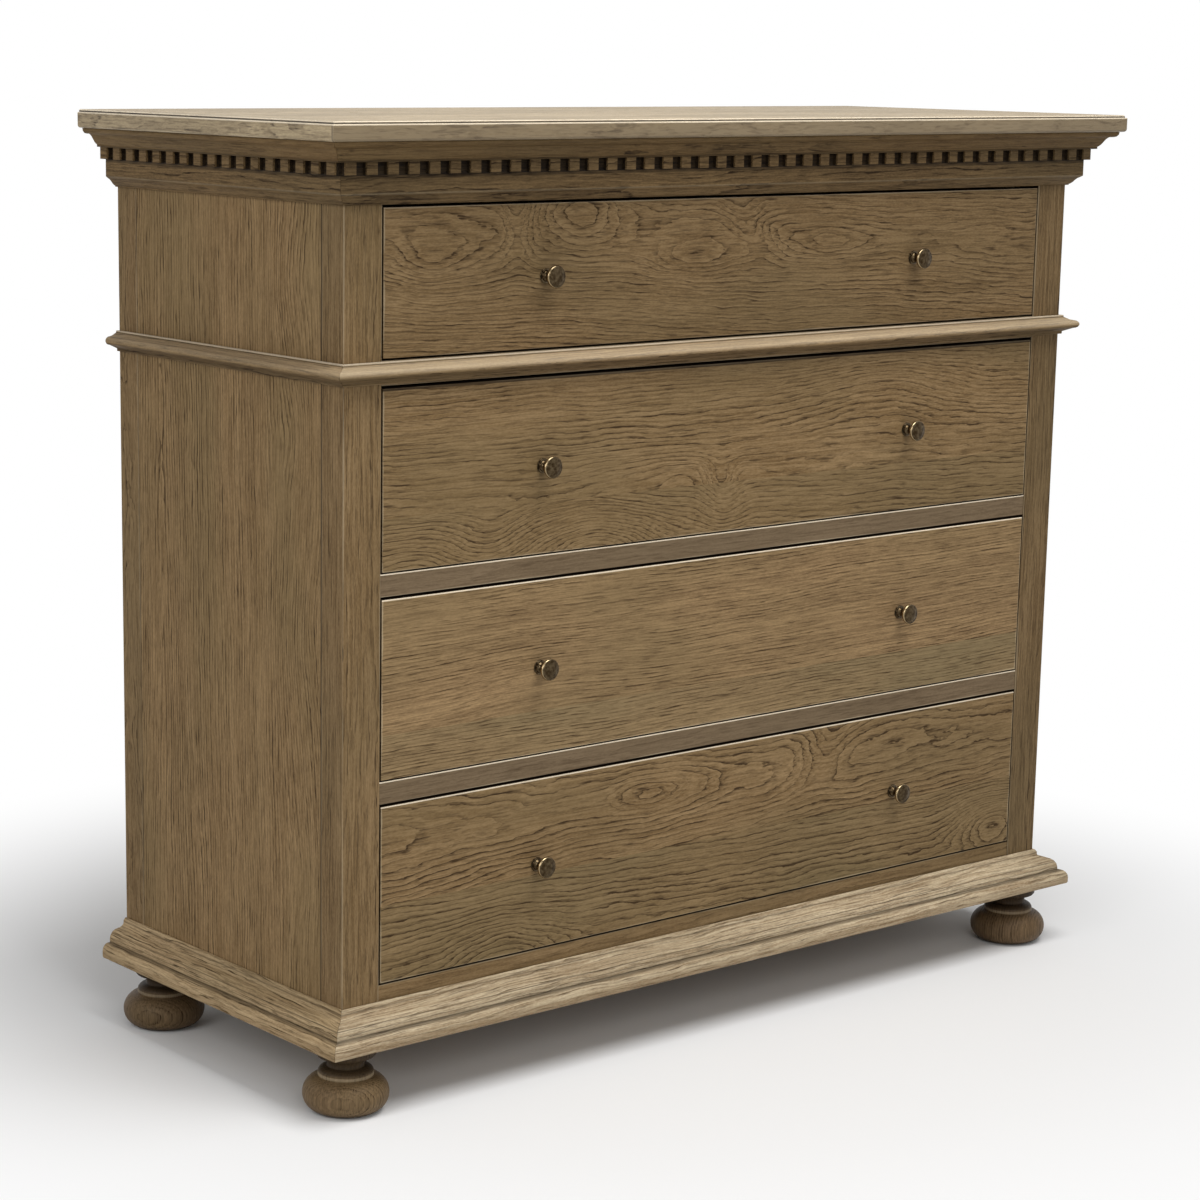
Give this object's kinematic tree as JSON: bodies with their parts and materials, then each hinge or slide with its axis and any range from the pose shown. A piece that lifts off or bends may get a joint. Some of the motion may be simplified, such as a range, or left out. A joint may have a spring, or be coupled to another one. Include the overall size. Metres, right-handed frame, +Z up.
{
  "type": "tallboy",
  "caption": "Oak tallboy with full-width drawers, a dentil cornice, a waist moulding, a moulded base and turned bun feet.",
  "frame": {"origin": "middle of the bounding box on the floor", "axes": "+X along the front to the viewer's right, +Y to the back, +Z up; the drawers face -Y"},
  "size_m": [1.201, 0.4806, 1.0545],
  "materials": {
    "oak": "weathered grey-brown oak, matt",
    "oak_shaded": "darker turned oak, satin",
    "oak_inside": "plain unstained oak, matt",
    "antique_brass": "dark antique brass, satin"
  },
  "bodies": {
    "case": {"top_board": "oak", "cornice_moulding_front": "oak", "cornice_moulding_left": "oak", "cornice_moulding_right": "oak", "frieze_front": "oak", "frieze_left": "oak", "frieze_right": "oak", "waist_moulding_front": "oak", "waist_moulding_left": "oak", "waist_moulding_right": "oak", "base_moulding_front": "oak", "base_moulding_left": "oak", "base_moulding_right": "oak", "post_front_left": "oak", "post_front_right": "oak", "post_rear_left": "oak", "post_rear_right": "oak", "side_panel_left": "oak", "side_panel_right": "oak", "back_panel": "oak_inside", "bottom_board": "oak_inside", "bottom_rail_frame": "oak", "lower_divider_frame": "oak", "upper_divider_frame": "oak", "waist_rail_frame": "oak", "top_rail": "oak", "kicker_left": "oak_inside", "kicker_right": "oak_inside", "foot_front_left": "oak_shaded", "foot_front_right": "oak_shaded", "foot_rear_left": "oak_shaded", "foot_rear_right": "oak_shaded"},
    "drawer_1": {"drawer_1_front": "oak", "drawer_1_side_left": "oak_inside", "drawer_1_side_right": "oak_inside", "drawer_1_back": "oak_inside", "drawer_1_bottom": "oak_inside", "drawer_1_knob_left": "antique_brass", "drawer_1_knob_right": "antique_brass"},
    "drawer_2": {"drawer_2_front": "oak", "drawer_2_side_left": "oak_inside", "drawer_2_side_right": "oak_inside", "drawer_2_back": "oak_inside", "drawer_2_bottom": "oak_inside", "drawer_2_knob_left": "antique_brass", "drawer_2_knob_right": "antique_brass"},
    "drawer_3": {"drawer_3_front": "oak", "drawer_3_side_left": "oak_inside", "drawer_3_side_right": "oak_inside", "drawer_3_back": "oak_inside", "drawer_3_bottom": "oak_inside", "drawer_3_knob_left": "antique_brass", "drawer_3_knob_right": "antique_brass"},
    "drawer_4": {"drawer_4_front": "oak", "drawer_4_side_left": "oak_inside", "drawer_4_side_right": "oak_inside", "drawer_4_back": "oak_inside", "drawer_4_bottom": "oak_inside", "drawer_4_knob_left": "antique_brass", "drawer_4_knob_right": "antique_brass"}
  },
  "joints": [
    {"name": "drawer_1_slide", "type": "slide", "parent": "case", "child": "drawer_1", "axis": [0, -1, 0], "range_m": [0, 0.3]},
    {"name": "drawer_2_slide", "type": "slide", "parent": "case", "child": "drawer_2", "axis": [0, -1, 0], "range_m": [0, 0.3]},
    {"name": "drawer_3_slide", "type": "slide", "parent": "case", "child": "drawer_3", "axis": [0, -1, 0], "range_m": [0, 0.3]},
    {"name": "drawer_4_slide", "type": "slide", "parent": "case", "child": "drawer_4", "axis": [0, -1, 0], "range_m": [0, 0.3]}
  ]
}
